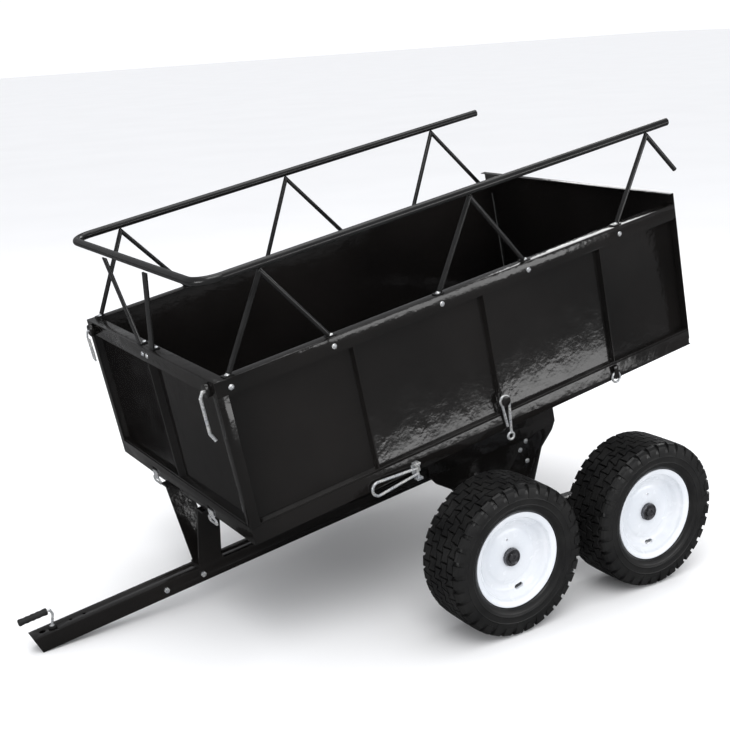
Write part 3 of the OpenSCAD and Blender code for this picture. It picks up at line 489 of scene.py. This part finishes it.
tread_points, tread_faces = [], []
for row in range(ROWS):
    for i in range(PITCHES):
        start = 2 * i + row % 2
        corners = [honey_corner(start + k, row) for k in (0, 1, 2)]
        corners += [honey_corner(start + k, row + 1) for k in (2, 1, 0)]
        if start + 2 >= 2 * PITCHES:
            corners = [(a + 2 * math.pi if a < math.pi and start > PITCHES else a, y)
                       for a, y in corners]
        add_block(tread_points, tread_faces, corners, [crown_radius(y) for _, y in corners],
                  [body_radius(y) - 1.0 for _, y in corners])
print("crown blocks", ROWS * PITCHES)

for side in (-1, 1):
    for i in range(PITCHES):
        long = i % 2 == 0
        turn = (2 * i + 0.5 + (side > 0)) * math.pi / PITCHES
        wide = math.pi / PITCHES * draw.uniform(0.72, 0.8)
        path = [(HALF_W - 12.5, TYRE_R - 1.8, 6.5, 1.0), (HALF_W - 6.0, TYRE_R - 3.6, 8.0, 1.0),
                (HALF_W - 1.8, TYRE_R - 9.0, 7.0, 0.97),
                (HALF_W - 0.5, TYRE_R - 17.5, 4.5, 0.92),
                (HALF_W - 0.3, TYRE_R - (34.0 if long else 24.5), 2.0, 0.8)]
        base = len(tread_points)
        for y, r, deep, share in path:
            lean = Vector((r - (TYRE_R - 26), y - (HALF_W - 24))).normalized() * deep
            for s, depth in ((-1, 1), (-0.92, 0), (0.92, 0), (1, 1)):
                tread_points.append(on_tyre(turn + s * wide * share, side * (y - lean.y * depth),
                                            r - lean.x * depth))
        for k in range(len(path) - 1):
            for j in range(4):
                m = (j + 1) % 4
                a, b = base + 4 * k, base + 4 * k + 4
                tread_faces.append((a + j, b + j, b + m, a + m))
        tread_faces.append((base, base + 1, base + 2, base + 3))
        last = base + 4 * (len(path) - 1)
        tread_faces.append((last + 3, last + 2, last + 1, last))
print("tread corners", len(tread_points))

tyre_mesh = lathe("tyre", body_profile, 144)
smooth_shaded(tyre_mesh, 50.0)
tread_mesh = mesh_from("tread", tread_points, tread_faces)
shape = bmesh.new()
shape.from_mesh(tyre_mesh)
body_faces = len(shape.faces)
shape.from_mesh(tread_mesh)
shape.faces.ensure_lookup_table()
bmesh.ops.recalc_face_normals(shape, faces=shape.faces[body_faces:])
shape.to_mesh(tyre_mesh)
shape.free()
smooth_shaded(tyre_mesh, 28.0)
print("tyre faces", len(tyre_mesh.polygons))

# %% [markdown]
# The rim is pressed from sheet: a rolled lip, a drop to the bead seat, and a disc that dishes
# in and comes out again around the hub. Its profile is the frame's own with the corners
# rounded. The slot for the valve and a small drain hole are cut right through, because a
# painted dark spot would not shade or parallax like a hole.

# %% Rim, valve and hub cap
DISH = FLANGE - 30.0
lip = [(RIM_R - 0.6, FLANGE - 0.2), (RIM_R - 4, FLANGE), (RIM_R - 15, FLANGE - 4),
       (RIM_R - 16.5, FLANGE - 12), (RIM_R - 24, DISH + 13), (RIM_R - 33, DISH + 2.5),
       (RIM_R - 47, DISH - 1.0), (RIM_R - 55, DISH + 1.8), (RIM_R - 70, DISH + 4.2), (21.8, DISH + 4)]
under = [(21.8, DISH + 1.2), (RIM_R - 64, DISH + 1.2), (RIM_R - 58, DISH - 1.5),
         (RIM_R - 50, DISH - 4.2), (RIM_R - 32, DISH - 1.5), (RIM_R - 26, DISH + 2),
         (RIM_R - 19.5, DISH - 1), (RIM_R - 19.5, -FLANGE + 13), (RIM_R - 15.8, -FLANGE + 4),
         (RIM_R - 4, -FLANGE + 0.1), (RIM_R - 0.6, -FLANGE + 0.3), (RIM_R - 0.2, -FLANGE + 1.5),
         (RIM_R - 0.6, -FLANGE + 2.8), (RIM_R - 4, -FLANGE + 3), (RIM_R - 13, -FLANGE + 5.2),
         (RIM_R - 13, FLANGE - 5.2), (RIM_R - 4, FLANGE - 3), (RIM_R - 0.6, FLANGE - 2.8),
         (RIM_R - 0.2, FLANGE - 1.5)]
rim_mesh = lathe("rim", rounded(lip + under, 5.0, 4), 144)
print("rim disc is", round(FLANGE - DISH, 1), "mm inside the lip")

# %% Cut the valve slot and the drain hole
def prism(name, outline, y0, y1):
    count = len(outline)
    points = [(x * MM, y0 * MM, z * MM) for x, z in outline]
    points += [(x * MM, y1 * MM, z * MM) for x, z in outline]
    faces = [tuple(range(count)), tuple(reversed(range(count, 2 * count)))]
    faces += [(j, j + count, (j + 1) % count + count, (j + 1) % count) for j in range(count)]
    mesh = mesh_from(name, points, faces)
    shape = bmesh.new()
    shape.from_mesh(mesh)
    bmesh.ops.recalc_face_normals(shape, faces=shape.faces)
    shape.to_mesh(mesh)
    shape.free()
    return mesh


def slot_outline(x, z, long, wide, lean, steps=10):
    outline = []
    for end in (1, -1):
        for k in range(steps + 1):
            turn = math.pi * (k / steps - 0.5) + (0 if end == 1 else math.pi)
            u = end * (long - wide) / 2 + wide / 2 * math.cos(turn)
            v = wide / 2 * math.sin(turn)
            outline.append((x + u * math.cos(lean) - v * math.sin(lean),
                            z + u * math.sin(lean) + v * math.cos(lean)))
    return outline


VALVE_R = RIM_R - 34
SLOT_LONG, SLOT_WIDE = 24, 9
CUT_REACH = 16
VALVE_TURN = math.radians(195)
valve_x, valve_z = VALVE_R * math.sin(VALVE_TURN), VALVE_R * math.cos(VALVE_TURN)
valve_slot = slot_outline(valve_x, valve_z, SLOT_LONG, SLOT_WIDE, -VALVE_TURN)
drain = slot_outline(10, 45, 5.2, 5, 0.0)
cutters = [prism(name, outline, DISH - CUT_REACH, DISH + CUT_REACH)
           for name, outline in (("valve_slot", valve_slot), ("drain_hole", drain))]
blank = link(rim_mesh, "rim_blank")
for cutter in cutters:
    tool = link(cutter, cutter.name)
    cut = blank.modifiers.new(cutter.name, "BOOLEAN")
    cut.object, cut.operation, cut.solver = tool, "DIFFERENCE", "EXACT"
bpy.context.view_layer.update()
rim_cut = bpy.data.meshes.new_from_object(blank.evaluated_get(bpy.context.evaluated_depsgraph_get()))
for spare in [blank] + [bpy.data.objects[c.name] for c in cutters]:
    bpy.data.objects.remove(spare)
smooth_shaded(rim_cut, 38.0)
print("rim faces", len(rim_mesh.polygons), "->", len(rim_cut.polygons))

# %% [markdown]
# The hub is a plain tube, closed outside by a pressed cap with a rolled edge. The cap has a
# shallow hollow face with a nut shape standing in it. The nut is a stack of rings, some six
# sided and some round, and the rest is one more turned profile.

# %% Hub cap, nut and valve stem
CAP = HUB_OUT
hub_profile = [(10.05, -FLANGE - 6), (21.6, -FLANGE - 6), (22, -FLANGE - 5.6), (22, CAP - 5.5),
               (21.2, CAP - 2.6), (19.4, CAP - 1.8), (17.8, CAP - 2.6), (17.2, CAP - 4.4),
               (9.0, CAP - 5.0), (0.02, CAP - 5.1), (0.02, CAP - 7.0), (14, CAP - 6.8),
               (19, CAP - 8.4), (19, CAP - 21), (10.05, CAP - 21)]
hub_mesh = lathe("hub", rounded(hub_profile, 1.2, 3), 72)
nut_rings = [(CAP - 5.6, 12.2, 0), (CAP - 1.6, 12.2, 0), (CAP - 0.8, 10.9, 1),
             (CAP - 0.2, 6.4, 1), (CAP - 2.0, 5.6, 1), (CAP - 2.2, 0.05, 1)]
nut_points, nut_faces, AROUND = [], [], 48
for y, size, round_part in nut_rings:
    for k in range(AROUND):
        turn = 2 * math.pi * k / AROUND
        flat = math.cos(math.pi / 6) / math.cos((turn + math.pi / 6) % (math.pi / 3) - math.pi / 6)
        r = size * (1.0 if round_part else flat)
        nut_points.append(on_tyre(turn, y, r))
for level in range(len(nut_rings) - 1):
    for k in range(AROUND):
        n = (k + 1) % AROUND
        nut_faces.append((level * AROUND + k, level * AROUND + AROUND + k,
                          level * AROUND + AROUND + n, level * AROUND + n))
nut_faces.append(tuple(range(AROUND)))
nut_faces.append(tuple((len(nut_rings) - 1) * AROUND + k for k in reversed(range(AROUND))))
nut_mesh = mesh_from("hub_nut", nut_points, nut_faces)
shape = bmesh.new()
shape.from_mesh(hub_mesh)
shape.from_mesh(nut_mesh)
bmesh.ops.recalc_face_normals(shape, faces=shape.faces)
shape.to_mesh(hub_mesh)
shape.free()
smooth_shaded(hub_mesh, 32.0)

stem = [(0.02, 22), (2.2, 22), (3.6, 21.2), (3.9, 18), (3.3, 17.4), (3.3, 15), (4.4, 14),
        (4.8, 6), (6.2, 2), (7.4, 0), (0.02, 0)]
stem_mesh = lathe("valve_stem", rounded(stem, 0.6, 2), 32)
smooth_shaded(stem_mesh, 35.0)
print("hub faces", len(hub_mesh.polygons), "valve stem faces", len(stem_mesh.polygons))

# %% [markdown]
# The four wheels share these meshes. A copy per wheel would waste memory and let them drift
# apart. The right hand wheels are turned half round and not mirrored, because a mirrored
# object has negative scale, which turns its faces inside out when it leaves Blender.

# %% Four wheels
for wheel_number, end_side in enumerate(("front_left", "rear_left", "front_right", "rear_right")):
    low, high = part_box(end_side + "_tyre")
    centre = (low + high) / 2
    facing = 0.0 if "left" in end_side else math.pi
    spin = math.radians((0, -12, 95, 140)[wheel_number])
    where = (Matrix.Translation(centre) @ Matrix.Rotation(facing, 4, "Z")
             @ Matrix.Rotation(spin, 4, "Y"))
    body = BODY_OF[end_side + "_tyre"]
    for mesh, part, slot in ((tyre_mesh, "tyre", "tyre"), (rim_cut, "rim", "white_paint"),
                             (hub_mesh, "hub", "hub_steel")):
        piece = link(mesh, end_side + "_" + part + "_finished")
        piece.matrix_world = where
        dress(piece, body, slot, end_side + "_" + part)
    stem_piece = link(stem_mesh, end_side + "_valve_stem")
    stem_piece.matrix_world = where @ Matrix.Translation(
        (valve_x * MM, (DISH - 26) * MM, valve_z * MM))
    dress(stem_piece, body, "rubber")
    print(end_side, "at", tuple(round(v, 3) for v in centre))

# %% [markdown]
# The hitch pin is lifted by a grip dipped in soft rubber. Dipping leaves thick rounded ends
# and four shallow finger waves, so the grip is a turned shape too, laid along the tongue.

# %% Grip of the hitch pin
grip_low, grip_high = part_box("hitch_grip")
grip_middle = (grip_low + grip_high) / 2
GRIP_L = 72.0
GRIP_R = 8.85
grip_profile = [(3.6, -GRIP_L / 2), (GRIP_R - 1.4, -GRIP_L / 2), (GRIP_R, -GRIP_L / 2 + 2.0)]
for wave in range(4):
    start = -GRIP_L / 2 + 8 + wave * 14
    grip_profile += [(GRIP_R, start), (GRIP_R - 1.0, start + 4.5), (GRIP_R - 1.0, start + 8.5)]
grip_profile += [(GRIP_R, GRIP_L / 2 - 5), (GRIP_R, GRIP_L / 2 - 2.5), (GRIP_R - 2, GRIP_L / 2),
                 (0.02, GRIP_L / 2), (0.02, GRIP_L / 2 - 3), (3.6, GRIP_L / 2 - 3)]
grip = link(smooth_shaded(lathe("hitch_grip", rounded(grip_profile, 1.6, 3), 48), 40.0),
            "hitch_grip_finished")
grip.matrix_world = (Matrix.Translation(grip_middle) @ Matrix.Rotation(TONGUE_SLOPE, 4, "Y")
                     @ Matrix.Rotation(-math.pi / 2, 4, "Z"))
dress(grip, "hitch_pin", "rubber", "hitch_grip")
print("grip at", tuple(round(v, 3) for v in grip_middle))

# %% Sizes of the frame before and after the finish
size = {"cad_box": cad_box, "visual_box": [[float(v) for v in corner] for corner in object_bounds()]}
print("size", size)
